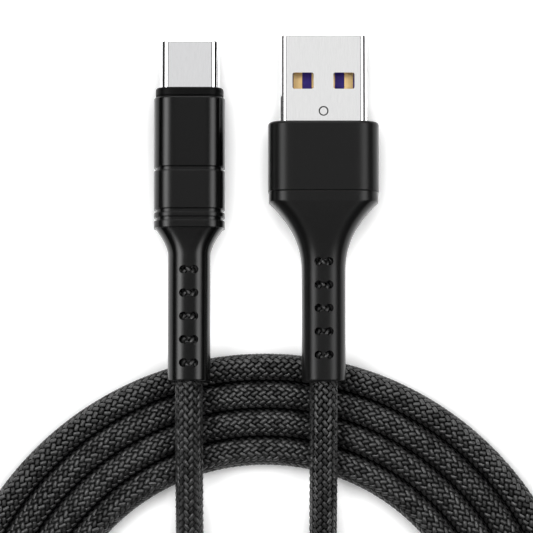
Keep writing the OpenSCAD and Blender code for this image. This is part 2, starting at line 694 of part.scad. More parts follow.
module usb_c_strain_relief() {
    w = c_body_w - 2 * c_collar_in;
    h = c_body_h - 2 * c_collar_in;
    color("#1d1d1d") place_c() difference() {
        union() {
            boot(c_boot_l, c_boot_w);
            flare(c_flare_y, c_flare_l, c_boot_w, w, h, c_body_r - c_collar_in, c_flare_power,
                  c_thick_power);
            bar(c_end_y, c_root_l, c_core_w, c_core_h, c_core_r);
        }
        rod(-cut, c_core_y + 2 * cut, cord_d + 2 * fit);
        rod(c_can_y - c_barrel_l - fit, 2 * c_barrel_l, cord_d + 4 * fit + 2 * barrel_wall);
        boot_slots(c_slot_end, c_boot_w);
    }
}

module usb_c_cord_end() {
    color("#2a2a2a") place_c() rod(0, c_strip_y, cord_d);
}

// ---- Cord ----

// Centre line of the coil: a flat spiral that grows by one pitch each turn, with both
// ends straight for one cord diameter. It starts a little inside the spiral, so that the
// straight end stays clear of the next turn.
coil_from = -20;
coil_to = 1285;
coil_step = 15;                                   // 24 rings in a turn
coil_ease = 0.5;
ease_over = 30;
flat_depth = cord_d / 10;                         // the coil is cut flat where it lies
coil_z = cord_r - flat_depth;
function spiral_r(a) = coil_r + coil_pitch * (a - 90) / 360
    - coil_ease * pow(max(0, 1 - (a - coil_from) / ease_over), 2);
function spiral(a) = [coil_x + spiral_r(a) * cos(a), coil_y + spiral_r(a) * sin(a), coil_z];
function spiral_way(a) = unit(spiral(a + 1) - spiral(a - 1));
coil_start = spiral(coil_from) - cord_d * spiral_way(coil_from);
coil_end = spiral(coil_to) + cord_d * spiral_way(coil_to);
coil_line = concat(
    [coil_start],
    [for (a = [coil_from : coil_step : coil_to]) spiral(a)],
    [coil_end]
);

// Six-sided ring with a corner on top, its lowest corner cut off level with the table.
flat_half = flat_depth * tan(60);
coil_ring = concat(
    [for (a = [-30 : 60 : 210]) cord_r * [cos(a), sin(a)]],
    [[-flat_half, -coil_z], [flat_half, -coil_z]]
);

// The cord comes out of each boot along the plug's axis for one diameter.
function boot_exit(x, z, tilt) =
    [[x, boot_y, z], [x, boot_y - cord_d * cos(tilt), z + cord_d * sin(tilt)]];

// A lead meets the coil's end square to it, after a short straight run along the table.
lead_run = 1;
function lead_end(end, away) =
    [for (k = [lead_run, 0]) [end[0] + k * away[0], end[1] + k * away[1], cord_r]];

// USB-C lead: down over the coil, along the table and round into the innermost turn.
lead_c_route = [
    [-10.4, -33.5, 6.4], [-10.4, -39, 4.9], [-10.4, -45, 3.2], [-10.4, -52, 2.1], [-10.4, -60.5, 1.95],
    [-10.4, -69.5, 1.95], [-8.8, -77.5, 1.95], [-4.3, -84.1, 1.95], [2.4, -88.4, 1.95],
    [10.3, -89.7, 1.95], [17.8, -87.9, 1.95], [23.8, -83.6, 1.95]
];
lead_c_line = concat(boot_exit(c_x, c_z, c_tilt), lead_c_route,
    lead_end(coil_start, -spiral_way(coil_from)));

// USB-A lead: down over the coil, over the other lead and the coil's lower turns, and down
// beside them into the outermost turn.
lead_a_route = [
    [8, -33.5, 6.4], [8, -39, 4.9], [8, -45, 3.2], [8, -52, 2.1], [8, -60.5, 1.95],
    [8, -68.5, 2.2], [8, -76.5, 3.6], [8, -83.5, 5.2], [8, -89.5, 6.1], [7.6, -95.7, 6.1],
    [4.7, -101.9, 6.1], [-0.4, -106.4, 6.1], [-7, -108.4, 6], [-13.6, -107.6, 5.9], [-20.4, -104.7, 5.3],
    [-26.6, -100.7, 4.2], [-32, -95.7, 2.8]
];
lead_a_line = concat(boot_exit(a_x, a_z, a_tilt), lead_a_route,
    lead_end(coil_end, spiral_way(coil_to)));

// Least gap between neighbouring turns, measured between the corners of their rings.
turn_rings = 360 / coil_step;
last_ring = len(coil_line) - 1;
coil_gap = min([for (i = [0 : last_ring - turn_rings]) for (k = [-1 : 1])
    let (next = min(i + turn_rings + k, last_ring))
    norm(ring_at(coil_line, i, coil_ring)[0] - ring_at(coil_line, next, coil_ring)[4])]);
echo(least_gap_of_the_coil = coil_gap);

function line_length(line, i = 1) =
    i >= len(line) ? 0 : norm(line[i] - line[i - 1]) + line_length(line, i + 1);
echo(cord_length = line_length(lead_a_line) + line_length(coil_line) + line_length(lead_c_line));

module cord_lead_usb_a() { color("#2a2a2a") sweep(lead_a_line, round_ring(cord_r)); }
module cord_coil() { color("#2a2a2a") sweep(coil_line, coil_ring); }
module cord_lead_usb_c() { color("#2a2a2a") sweep(lead_c_line, round_ring(cord_r)); }

usb_a_shell();
usb_a_contact_carrier();
usb_a_contact_power();
usb_a_contact_data_minus();
usb_a_contact_data_plus();
usb_a_contact_ground();
usb_a_back_shield();
usb_a_solder_mould();
usb_a_core();
usb_a_front_sleeve();
usb_a_strain_relief();
usb_a_wire_red();
usb_a_wire_white();
usb_a_wire_green();
usb_a_wire_black();
usb_a_cord_end();
usb_c_shell();
usb_c_contact_carrier();
usb_c_upper_contacts();
usb_c_lower_contacts();
usb_c_latch_plate();
usb_c_board();
usb_c_resistor();
usb_c_rear_shield();
usb_c_core();
usb_c_collar();
usb_c_front_sleeve();
usb_c_rear_sleeve();
usb_c_strain_relief();
usb_c_wire_red();
usb_c_wire_white();
usb_c_wire_green();
usb_c_wire_black();
usb_c_cord_end();
cord_lead_usb_a();
cord_coil();
cord_lead_usb_c();
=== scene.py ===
"""Charging cable with a USB-A plug and a USB-C plug on one braided cord, lying in a flat coil.

Sizes are in mm and angles in degrees, unless a comment says otherwise. Each plug has a frame of
its own, with the plug's axis along Y and its boot's end at 0. A section is (y, width, height,
corner radius) in that frame.
"""
import json
import math

import bmesh
import bpy
import numpy as np
from mathutils import Matrix, Vector, kdtree
from mathutils.bvhtree import BVHTree
from mathutils.interpolate import poly_3d_calc

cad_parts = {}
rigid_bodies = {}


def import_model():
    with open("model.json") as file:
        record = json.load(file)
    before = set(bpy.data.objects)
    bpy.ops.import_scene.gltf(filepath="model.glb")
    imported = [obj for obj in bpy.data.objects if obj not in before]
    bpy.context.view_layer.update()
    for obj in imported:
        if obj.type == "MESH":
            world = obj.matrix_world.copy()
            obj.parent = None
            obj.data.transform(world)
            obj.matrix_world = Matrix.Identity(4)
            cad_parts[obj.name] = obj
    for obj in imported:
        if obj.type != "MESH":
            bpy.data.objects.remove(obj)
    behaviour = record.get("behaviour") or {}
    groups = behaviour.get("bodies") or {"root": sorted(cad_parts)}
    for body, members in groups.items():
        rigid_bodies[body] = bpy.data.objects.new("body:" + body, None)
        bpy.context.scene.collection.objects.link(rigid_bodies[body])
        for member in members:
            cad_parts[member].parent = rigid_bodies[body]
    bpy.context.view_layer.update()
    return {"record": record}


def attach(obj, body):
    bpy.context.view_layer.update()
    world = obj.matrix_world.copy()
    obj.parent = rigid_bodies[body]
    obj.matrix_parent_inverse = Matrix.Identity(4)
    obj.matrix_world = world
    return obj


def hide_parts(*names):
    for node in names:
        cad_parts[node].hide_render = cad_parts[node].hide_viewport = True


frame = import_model()

MM = 0.001
CORD_D = 3.9                 # the braided cord's diameter
CORD_R = CORD_D / 2

# ---------------------------------------------------------------- places

COIL_X, COIL_Y = 0.6, -65.0
COIL_R, COIL_PITCH = 31.4, 3.85          # its radius at 90 degrees, and what each turn adds
COIL_FROM, COIL_TO, COIL_STEP = -20, 1285, 15
COIL_EASE, EASE_OVER = 0.5, 30.0         # how far the inner end draws in, and over what angle

# The leads' centre lines, from near the boot to where the cord joins the coil.
LEAD_C_ROUTE = [
    (-10.4, -33.5, 6.4), (-10.4, -39, 4.9), (-10.4, -45, 3.2), (-10.4, -52, 2.1),
    (-10.4, -60.5, 1.95), (-10.4, -69.5, 1.95), (-8.8, -77.5, 1.95), (-4.3, -84.1, 1.95),
    (2.4, -88.4, 1.95), (10.3, -89.7, 1.95), (17.8, -87.9, 1.95), (23.8, -83.6, 1.95),
]
LEAD_A_ROUTE = [
    (8, -33.5, 6.4), (8, -39, 4.9), (8, -45, 3.2), (8, -52, 2.1), (8, -60.5, 1.95),
    (8, -68.5, 2.2), (8, -76.5, 3.6), (8, -83.5, 5.2), (8, -89.5, 6.1), (7.6, -95.7, 6.1),
    (4.7, -101.9, 6.1), (-0.4, -106.4, 6.1), (-7, -108.4, 6), (-13.6, -107.6, 5.9),
    (-20.4, -104.7, 5.3), (-26.6, -100.7, 4.2), (-32, -95.7, 2.8),
]

# The plugs' lengths from the boot's end to the shell's mouth.
A_TIP, C_TIP = 47.55, 46.98


class Place:
    """The frame of one plug, taken from its mount."""

    def __init__(self, mount, tip):
        row = next(m for m in frame["record"]["mounts"] if m["name"] == mount)
        self.y = np.array(row["axis"])
        self.x = np.array([1.0, 0.0, 0.0])
        self.z = np.cross(self.x, self.y)
        self.origin = np.array(row["pos_m"]) - self.y * tip * MM

    def world(self, points):
        """Points of the plug's frame in metres, in the shared frame."""
        p = np.asarray(points, float) * MM
        return self.origin + p[..., :1] * self.x + p[..., 1:2] * self.y + p[..., 2:3] * self.z


PLUG_A = Place("usb_a_plug", A_TIP)
PLUG_C = Place("usb_c_plug", C_TIP)

# ---------------------------------------------------------------- camera

VIEW_PX, PX_PER_MM = 533, 7.25
LENS, SENSOR = 200.0, 36.0
CAMERA_X, CAMERA_Y = COIL_X - 0.414, COIL_Y + 56.9
SCALE_Z = 3.0                # the height at which a mm is PX_PER_MM pixels wide
NEAR, FAR = 0.01, 20         # in metres


def make_camera():
    """A camera that looks straight down on the part."""
    data = bpy.data.cameras.new("camera")
    data.lens = LENS
    data.sensor_width = SENSOR
    data.clip_start, data.clip_end = NEAR, FAR
    camera = bpy.data.objects.new("camera", data)
    bpy.context.collection.objects.link(camera)
    distance = VIEW_PX / PX_PER_MM * LENS / SENSOR
    camera.location = (CAMERA_X * MM, CAMERA_Y * MM, (SCALE_Z + distance) * MM)
    bpy.context.scene.camera = camera


# ---------------------------------------------------------------- materials

NOISE_DETAIL = 3.0
SPREAD = 0.2                 # how far from its middle a noise reaches a finish's two colours


class Nodes:
    """Small helper to write a material's node tree."""

    def __init__(self, name):
        self.material = bpy.data.materials.new(name)
        self.material.use_nodes = True
        self.tree = self.material.node_tree
        self.bsdf = next(n for n in self.tree.nodes if n.type == "BSDF_PRINCIPLED")

    def add(self, kind, **values):
        node = self.tree.nodes.new(kind)
        for key, value in values.items():
            setattr(node, key, value)
        return node

    def link(self, a, b):
        self.tree.links.new(a, b)

    def set(self, **values):
        """Sets the surface's inputs; an underscore stands for a space in an input's name."""
        for key, value in values.items():
            socket = self.bsdf.inputs[key.replace("_", " ")]
            if isinstance(value, bpy.types.NodeSocket):
                self.link(value, socket)
            else:
                socket.default_value = value

    def calc(self, operation, a, b):
        """One operation on an output, with another output or a plain number."""
        node = self.add("ShaderNodeMath", operation=operation)
        self.link(a, node.inputs[0])
        if isinstance(b, bpy.types.NodeSocket):
            self.link(b, node.inputs[1])
        else:
            node.inputs[1].default_value = b
        return node.outputs["Value"]

    def noise(self, grain, stretch=(1, 1, 1)):
        """A noise that is fixed to the object, with the grain stretched by less than 1."""
        where = self.add("ShaderNodeTexCoord")
        mapping = self.add("ShaderNodeMapping")
        mapping.inputs["Scale"].default_value = stretch
        self.link(where.outputs["Object"], mapping.inputs["Vector"])
        node = self.add("ShaderNodeTexNoise")
        node.inputs["Scale"].default_value = 1 / MM / grain
        node.inputs["Detail"].default_value = NOISE_DETAIL
        self.link(mapping.outputs["Vector"], node.inputs["Vector"])
        return node.outputs["Fac"]

    def ramp(self, value, stops, colours):
        """The two colours, and between them from the first stop to the second."""
        node = self.add("ShaderNodeValToRGB")
        for element, at, colour in zip(node.color_ramp.elements, stops, colours):
            element.position = at
            element.color = (*colour, 1.0)
        self.link(value, node.inputs["Fac"])
        return node.outputs["Color"]

    def span(self, value, low, high):
        """A value held between 0 and 1, as low to high."""
        node = self.add("ShaderNodeMapRange")
        node.inputs["To Min"].default_value = low
        node.inputs["To Max"].default_value = high
        self.link(value, node.inputs["Value"])
        return node.outputs["Result"]

    def bump(self, height, depth):
        """Roughens the surface by a height between 0 and 1."""
        node = self.add("ShaderNodeBump")
        node.inputs["Distance"].default_value = depth * MM
        self.link(height, node.inputs["Height"])
        self.set(Normal=node.outputs["Normal"])


def greys(dark, light):
    """The two colours of a finish that is grey."""
    return (dark,) * 3, (light,) * 3


def surface(name, colours, rough, grain, metal=0.0, specular=0.5, bump=0.0, stretch=(1, 1, 1)):
    """A procedural finish, whose colour and roughness vary with a noise.

    colours are the darkest and the lightest, rough is a range, grain the noise's size and bump
    the depth of its relief.
    """
    m = Nodes(name)
    value = m.noise(grain, stretch)
    m.set(Base_Color=m.ramp(value, (0.5 - SPREAD, 0.5 + SPREAD), colours),
          Roughness=m.span(value, *rough), Metallic=metal, Specular_IOR_Level=specular)
    if bump:
        m.bump(value, bump)
    return m.material


def braid_finish(name):
    """Nylon yarn: each stitch has its own random tone. Painted shade darkens the yarn, and takes away its
    shine, where it dips under and along its edges.
    """
    m = Nodes(name)
    value = m.noise(grain=0.16)
    # The attribute holds each stitch's random tone, times painted shade at the strand's edges and where
    # it dips under.
    tone = m.add("ShaderNodeAttribute", attribute_name="tone").outputs["Fac"]
    fleck_and_shade = m.calc("MULTIPLY", tone, m.span(value, 0.3, 1.7))
    m.set(Base_Color=m.ramp(fleck_and_shade, (0.0, 1.0), greys(0.0005, 0.030)),
          Roughness=m.span(value, 0.36, 0.52), Specular_IOR_Level=m.span(fleck_and_shade, 0.0, 1.0))
    m.bump(value, depth=0.02)
    return m.material


ALONG = (1, 0.06, 1)         # a stretch that draws the grain out along the plug
FINISHES = {
    "plug_steel": dict(colours=greys(0.86, 0.90), rough=(0.04, 0.06), grain=0.12, metal=1.0,
                       bump=0.0002, stretch=ALONG),
    "plug_steel_c": dict(colours=((0.76, 0.76, 0.77), (0.80, 0.80, 0.81)), rough=(0.04, 0.06),
                         grain=0.12, metal=1.0, bump=0.0002, stretch=ALONG),
    "shield_steel": dict(colours=greys(0.55, 0.68), rough=(0.3, 0.5), grain=0.3, metal=1.0),
    "contact_gold": dict(colours=((0.97, 0.66, 0.29), (1.0, 0.74, 0.37)), rough=(0.42, 0.50),
                         grain=0.3, metal=1.0, stretch=ALONG),
    "carrier_blue": dict(colours=((0.052, 0.032, 0.26), (0.064, 0.040, 0.31)),
                         rough=(0.3, 0.42), grain=0.4, specular=0.15),
    "carrier_black": dict(colours=greys(0.012, 0.018), rough=(0.3, 0.42), grain=0.4),
    "mould_white": dict(colours=((0.6, 0.59, 0.55), (0.72, 0.71, 0.67)), rough=(0.5, 0.6),
                        grain=0.5),
    "core_plastic": dict(colours=greys(0.03, 0.05), rough=(0.45, 0.6), grain=0.4, bump=0.004),
    "sleeve_a": dict(colours=greys(0.0068, 0.0112), rough=(0.28, 0.34), grain=0.09,
                     specular=0.20, bump=0.0015),
    "sleeve_c": dict(colours=greys(0.0002, 0.0008), rough=(0.19, 0.24), grain=0.09,
                     specular=0.34, bump=0.0010),
    "sleeve_c_rear": dict(colours=greys(0.0024, 0.0050), rough=(0.20, 0.25), grain=0.09,
                          specular=0.32, bump=0.0010),
    "collar_plastic": dict(colours=greys(0.0008, 0.002), rough=(0.4, 0.5), grain=0.2,
                           specular=0.10),
    "boot_rubber": dict(colours=greys(0.0055, 0.0100), rough=(0.26, 0.32), grain=0.12,
                        specular=0.24, bump=0.0015),
    "boot_rubber_c": dict(colours=greys(0.0014, 0.0034), rough=(0.21, 0.26), grain=0.12,
                          specular=0.36, bump=0.0010),
    "wire_red": dict(colours=((0.4, 0.02, 0.02), (0.55, 0.04, 0.03)), rough=(0.35, 0.5),
                     grain=0.5),
    "wire_white": dict(colours=greys(0.7, 0.8), rough=(0.35, 0.5), grain=0.5),
    "wire_green": dict(colours=((0.03, 0.22, 0.06), (0.05, 0.32, 0.1)), rough=(0.35, 0.5),
                       grain=0.5),
    "wire_black": dict(colours=greys(0.015, 0.025), rough=(0.35, 0.5), grain=0.5),
    "board_green": dict(colours=((0.01, 0.09, 0.035), (0.02, 0.15, 0.06)), rough=(0.25, 0.4),
                        grain=0.5),
    "resistor_black": dict(colours=greys(0.02, 0.035), rough=(0.4, 0.6), grain=0.2),
    # The core is black plastic, made darker still as painted shade, since it shows in the gaps between
    # strands and between turns.
    "cord_core": dict(colours=greys(0.0015, 0.003), rough=(0.8, 0.9), grain=0.3, specular=0.05),
}
FINISH_OF_SLOT = {"sleeve_metal": "sleeve_a"}      # the slots whose finish has another name


def make_materials():
    finish = {name: surface(name, **look) for name, look in FINISHES.items()}
    finish["cord_braid"] = braid_finish("cord_braid")
    return finish


def dress_cad_nodes(finish):
    """Gives each CAD node the procedural finish of its material slot."""
    for row in frame["record"]["subparts"]:
        obj = bpy.data.objects.get(row["node"])
        name = row["material_slot"]
        for slot in obj.material_slots:
            slot.link = "OBJECT"
            slot.material = finish[FINISH_OF_SLOT.get(name, name)]


# ---------------------------------------------------------------- mesh helpers

SHARP = 32                   # faces that meet at more than this angle show an edge


def add_piece(name, mesh, material):
    """A new piece of the part, with a mesh of its own."""
    mesh.materials.append(material)
    obj = bpy.data.objects.new(name, mesh)
    bpy.context.collection.objects.link(obj)
    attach(obj, "root")
    return obj


def grid_faces(rows, columns, closed=False):
    """Faces of a grid whose points are stored row by row; closed joins each row's two ends."""
    i = np.arange(columns if closed else columns - 1)
    j = (i + 1) % columns
    quads = np.stack([i, j, j + columns, i + columns], axis=1)
    return (quads[None] + (np.arange(rows - 1) * columns)[:, None, None]).reshape(-1, 4)


def skin_faces(rows, columns):
    """Faces round a row of rings, which turn the other way than those of grid_faces."""
    return grid_faces(rows, columns, closed=True)[:, [0, 3, 2, 1]]


def drum_faces(n):
    """Faces of a solid that has n points round one end and then n round the other."""
    ends = [tuple(range(n))[::-1], tuple(range(n, 2 * n))]
    return ends + grid_faces(2, n, closed=True).tolist()


def add_grid_piece(name, points, faces, material, tones_and_shade=None):
    """A piece of big arrays: points n by 3 in mm, faces m by 4, and maybe a tone with painted shade for
    each point.
    """
    mesh = bpy.data.meshes.new(name)
    mesh.vertices.add(len(points))
    mesh.vertices.foreach_set("co", (points * MM).astype(np.float32).ravel())
    mesh.loops.add(faces.size)
    mesh.loops.foreach_set("vertex_index", faces.astype(np.int32).ravel())
    mesh.polygons.add(len(faces))
    mesh.polygons.foreach_set("loop_start", np.arange(0, faces.size, 4, dtype=np.int32))
    mesh.update(calc_edges=True)
    mesh.shade_smooth()
    if tones_and_shade is not None:
        mesh.attributes.new("tone", "FLOAT", "POINT").data.foreach_set("value", tones_and_shade.astype(np.float32))
    return add_piece(name, mesh, material)


# ---------------------------------------------------------------- the cord's line

def spiral_radius(a):
    """The coil's radius at an angle that grows from the inner end to the outer one."""
    ease = max(0.0, 1 - (a - COIL_FROM) / EASE_OVER)
    return COIL_R + COIL_PITCH * (a - 90) / 360 - COIL_EASE * ease ** 2


def spiral(a):
    """The point of the coil at an angle."""
    r, t = spiral_radius(a), math.radians(a)
    return np.array([COIL_X + r * math.cos(t), COIL_Y + r * math.sin(t), CORD_R])


def spiral_way(a):
    """The coil's direction at an angle."""
    d = spiral(a + 1) - spiral(a - 1)
    return d / np.linalg.norm(d)


def boot_exit(place):
    """The boot's end and a point one diameter back along the plug's axis."""
    return [place.world([0, 0, 0]) / MM, place.world([0, -CORD_D, 0]) / MM]


def cord_points():
    """The whole cord's centre line, from the USB-A boot through the coil to the USB-C boot."""
    end = spiral(COIL_TO) + CORD_D * spiral_way(COIL_TO)
    start = spiral(COIL_FROM) - CORD_D * spiral_way(COIL_FROM)
    turns = [spiral(a) for a in range(COIL_TO, COIL_FROM - 1, -COIL_STEP)]
    lead_a = boot_exit(PLUG_A) + [np.array(p, float) for p in LEAD_A_ROUTE]
    lead_c = boot_exit(PLUG_C) + [np.array(p, float) for p in LEAD_C_ROUTE]
    return np.array(lead_a + [end] + turns + [start] + lead_c[::-1])


def smooth_line(points, step, fine=0.1):
    """A centripetal Catmull-Rom curve through the points, resampled at an even step."""
    p = np.vstack([2 * points[0] - points[1], points, 2 * points[-1] - points[-2]])
    out = []
    for i in range(1, len(p) - 2):
        p0, p1, p2, p3 = p[i - 1:i + 3]
        t1 = np.linalg.norm(p1 - p0) ** 0.5
        t2 = t1 + np.linalg.norm(p2 - p1) ** 0.5
        t3 = t2 + np.linalg.norm(p3 - p2) ** 0.5
        n = max(4, int(np.linalg.norm(p2 - p1) / fine))
        t = np.linspace(t1, t2, n, endpoint=False)[:, None]
        a1 = (t1 - t) / t1 * p0 + t / t1 * p1
        a2 = (t2 - t) / (t2 - t1) * p1 + (t - t1) / (t2 - t1) * p2
        a3 = (t3 - t) / (t3 - t2) * p2 + (t - t2) / (t3 - t2) * p3
        b1 = (t2 - t) / t2 * a1 + t / t2 * a2
        b2 = (t3 - t) / (t3 - t1) * a2 + (t - t1) / (t3 - t1) * a3
        out.append((t2 - t) / (t2 - t1) * b1 + (t - t1) / (t2 - t1) * b2)
    line = np.vstack(out + [points[-1:]])
    run = np.concatenate([[0], np.cumsum(np.linalg.norm(np.diff(line, axis=0), axis=1))])
    at = np.linspace(0, run[-1], int(round(run[-1] / step)) + 1)
    line = np.stack([np.interp(at, run, line[:, k]) for k in range(3)], axis=1)
    return line, run[-1]


def soften(line, window):
    """Evens out a line's small corners with a moving average; its ends stay where they are."""
    kernel = np.hanning(window + 2)[1:-1]
    kernel /= kernel.sum()
    half = window // 2
    padded = np.vstack([2 * line[0] - line[half:0:-1], line, 2 * line[-1] - line[-2:-half - 2:-1]])
    return np.stack([np.convolve(padded[:, k], kernel, mode="valid") for k in range(3)], axis=1)


def frames_along(line):
    """Side and up vectors carried along the line without twist."""
    way = np.gradient(line, axis=0)
    way /= np.linalg.norm(way, axis=1)[:, None]
    side = np.empty_like(way)
    s = np.cross(way[0], [0.0, 0.0, 1.0])
    side[0] = s / np.linalg.norm(s)
    for i in range(1, len(way)):
        s = side[i - 1] - way[i] * np.dot(side[i - 1], way[i])
        side[i] = s / np.linalg.norm(s)
    return side, np.cross(side, way)


# ---------------------------------------------------------------- the braid

CARRIERS = 16                # strands that wind each way, over two and under two
BRAID_LEAD = 16.4            # length of one strand's turn round the cord
STEPS_PER_CROSSING = 3
BRAID_STEP = BRAID_LEAD / (2 * CARRIERS) / STEPS_PER_CROSSING
BRAID_PIECES = 15            # the cord's whole braid is cut into so many pieces
BRAID_SEED = 7
STRAND_W = 0.69
OVER, UNDER = 1.86, 1.58     # a strand's middle, from the cord's centre line
SNAP = 1.2                   # how squarely a strand goes from over to under
# A strand's section: place across it in half widths, height over its middle, and a painted shade that
# darkens its edges.
STRAND_SECTION = [(-1.0, -0.21, 0.08), (-0.84, -0.02, 0.75), (0.0, 0.095, 1.05),
                  (0.84, -0.02, 0.75), (1.0, -0.21, 0.08)]
STITCH_TONES = (0.45, 1.7)   # the darkest and lightest stitch, of the braid's own tone
END_PAINTED_LIGHT = 2                 # painted light: the braid inside the boots is made so much lighter, to make up for the shade that the slots cast on it
DIP_FROM, DIP_OVER = 0.4, 0.4          # painted shade: a strand is black where it dips under; where its colour sets in as it comes up, and how fast

CORE_R, CORE_TOUCH = 1.52, 1.93        # the core's radius, and its half width where neighbouring turns press; there the near-black core fills the gap between turns as painted shade
CORE_EVERY = 6               # the core has one ring for so many steps of the braid
CORE_SIDES, END_CORE_SIDES = 24, 16    # on the open cord, and inside the boots
TOUCH_WINDOW = 9             # rings over which the core's half width changes
LINE_WINDOW, LINE_EVERY = 25, 6        # how the cord's line is softened and then thinned out


def braid_arrays(line, side, up, run_from=0.0):
    """Points, faces and tones of all strands of the braid along a line that has an even step."""
    n = len(line)
    run = run_from + np.arange(n) * np.linalg.norm(line[1] - line[0])
    place, height, shade = np.array(STRAND_SECTION).T
    rng = np.random.default_rng(BRAID_SEED + int(run_from * 10))
    way = np.cross(up, side)
    pitch = math.atan2(2 * math.pi * CORD_R, BRAID_LEAD)
    # A strand's width runs square to the strand itself, on the cord's surface.
    across = place * STRAND_W / 2
    swing = across * math.cos(pitch) / CORD_R
    grid = grid_faces(n, len(place))
    points, faces, tones_and_shade = [], [], []
    for hand in (1, -1):
        turn = hand * -1 * across * math.sin(pitch)
        for i in range(CARRIERS):
            angle = 2 * math.pi * (i / CARRIERS + hand * run / BRAID_LEAD)
            beat = (CARRIERS * angle - math.pi / 2) / 2
            wave = hand * np.tanh(SNAP * np.cos(beat)) / math.tanh(SNAP)
            radius = (OVER + UNDER) / 2 + (OVER - UNDER) / 2 * wave
            theta = angle[:, None] + swing
            r = radius[:, None] + height
            pos = (line[:, None, :]
                   + (r * np.cos(theta))[..., None] * side[:, None, :]
                   + (r * np.sin(theta))[..., None] * up[:, None, :]
                   + turn[None, :, None] * way[:, None, :])
            faces.append(grid + len(points) * n * len(place))
            points.append(pos.reshape(-1, 3))
            stitch = np.round(hand * beat / math.pi).astype(int)
            own = rng.uniform(*STITCH_TONES, stitch[-1] - stitch[0] + 1)[stitch - stitch[0]]
            # Painted shade: the strand goes black where it dips under, and is darker along its edges by
            # the section's shade.
            dip = np.clip((wave - DIP_FROM) / DIP_OVER, 0, 1)
            tones_and_shade.append(((dip * own)[:, None] * shade).ravel())
    return np.vstack(points), np.vstack(faces), np.concatenate(tones_and_shade)


def tube_arrays(line, side, up, reach, sides):
    """The core along the line; reach has its half widths to the left and right at each point."""
    a = np.arange(sides) * 2 * math.pi / sides
    across = np.where(np.cos(a)[None, :] < 0, reach[:, :1], reach[:, 1:])
    ring = ((across * np.cos(a)[None, :])[..., None] * side[:, None, :]
            + CORE_R * np.sin(a)[None, :, None] * up[:, None, :])
    points = (line[:, None, :] + ring).reshape(-1, 3)
    return points, grid_faces(len(line), sides, closed=True)


def core_reach(line, side):
    """Half widths of the core: plain, or as wide as to meet the neighbouring turn."""
    tree = kdtree.KDTree(len(line))
    for i, p in enumerate(line):
        tree.insert(p, i)
    tree.balance()
    reach = np.full((len(line), 2), CORE_R)
    for k, way in enumerate((-1, 1)):
        for i in range(len(line)):
            near = tree.find(line[i] + way * COIL_PITCH * side[i])
            if near[2] < COIL_PITCH / 4 and abs(near[1] - i) > CORE_EVERY:
                reach[i, k] = CORE_TOUCH
    kernel = np.ones(TOUCH_WINDOW) / TOUCH_WINDOW
    for k in (0, 1):
        padded = np.pad(reach[:, k], TOUCH_WINDOW // 2, mode="edge")
        reach[:, k] = np.convolve(padded, kernel, mode="valid")
    return reach


def make_cord(finish):
    """The cord's core and braid, with its centre line and length."""
    line, _ = smooth_line(cord_points(), BRAID_STEP)
    line = soften(line, LINE_WINDOW)
    line, length = smooth_line(line[::LINE_EVERY], BRAID_STEP)
    side, up = frames_along(line)

    few = slice(None, None, CORE_EVERY)
    reach = core_reach(line[few], side[few])
    points, faces = tube_arrays(line[few], side[few], up[few], reach, CORE_SIDES)
    core = add_grid_piece("cord_core", points, faces, finish["cord_core"])

    braids = []
    cuts = np.linspace(0, len(line) - 1, BRAID_PIECES + 1).astype(int)
    step = length / (len(line) - 1)
    for k in range(BRAID_PIECES):
        part = slice(cuts[k], cuts[k + 1] + 1)
        points, faces, tones_and_shade = braid_arrays(line[part], side[part], up[part], cuts[k] * step)
        braids.append(add_grid_piece(f"cord_braid_{k + 1}", points, faces,
                                     finish["cord_braid"], tones_and_shade))
    return core, braids, line, length


# ---------------------------------------------------------------- sections and solids

CORNER_STEPS = 16
CORNERS = ((1, 1, 0), (-1, 1, 90), (-1, -1, 180), (1, -1, 270))   # signs of x and y, and start
SOFT = 1.35                  # how much further than its radius a moulded corner starts to turn
GUARD = 0.06                 # extra points this near an edge keep the flats flat in shading,
GUARD_SHARE = 0.3            # or at this share of half a flat, if that is nearer
HALF_FLAT = 0.01             # half of the shortest flat that is left between two corners
ROUND = 1.0001               # a corner that starts to turn here, in its radius, is round


def rounded(w, h, r, soft):
    """Points x, z of a rounded rectangle whose corners turn softly, as moulded ones do.

    A corner is a superellipse that passes where a round one of radius r would on the diagonal.
    Each end of a flat has a guard point.
    """
    reach = min(soft * r, w / 2 - HALF_FLAT, h / 2 - HALF_FLAT)
    reach = max(reach, ROUND * r)
    power = math.log(2) / -math.log(1 - (1 - math.sqrt(0.5)) * r / reach)
    cx, cz = w / 2 - reach, h / 2 - reach
    points = []
    for sx, sz, start in CORNERS:
        along = min(GUARD, GUARD_SHARE * (cz if start % 180 == 0 else cx))
        after = min(GUARD, GUARD_SHARE * (cx if start % 180 == 0 else cz))
        arc = [math.radians(start + 90 * i / CORNER_STEPS) for i in range(CORNER_STEPS + 1)]
        arc = [(sx * (cx + reach * abs(math.cos(a)) ** (2 / power)),
                sz * (cz + reach * abs(math.sin(a)) ** (2 / power))) for a in arc]
        a0, a1 = math.radians(start), math.radians(start + 90)
        first = (arc[0][0] + along * math.sin(a0), arc[0][1] - along * math.cos(a0))
        last = (arc[-1][0] - after * math.sin(a1), arc[-1][1] + after * math.cos(a1))
        points += [first] + arc + [last]
    return points


def grown(w, h, r, by):
    """A width, height and radius that stand out by so much all round."""
    return w + 2 * by, h + 2 * by, r + by


def disc(y, d):
    """A section that is as good as round."""
    return y, d, d, d / 2 - HALF_FLAT


def lip(y, w, h, r, edge, way, steps=4):
    """Sections that round an edge off where a solid ends at y; way is 1 at its front."""
    out = []
    for i in range(steps + 1):
        a = math.radians(90 * i / steps)
        inset = edge * (1 - math.cos(a))
        out.append((y - way * edge * (1 - math.sin(a)), *grown(w, h, r, -inset)))
    return [(out[0][0] - way * GUARD, w, h, r)] + out


def back(sections):
    """The same sections from the last to the first."""
    return sections[::-1]


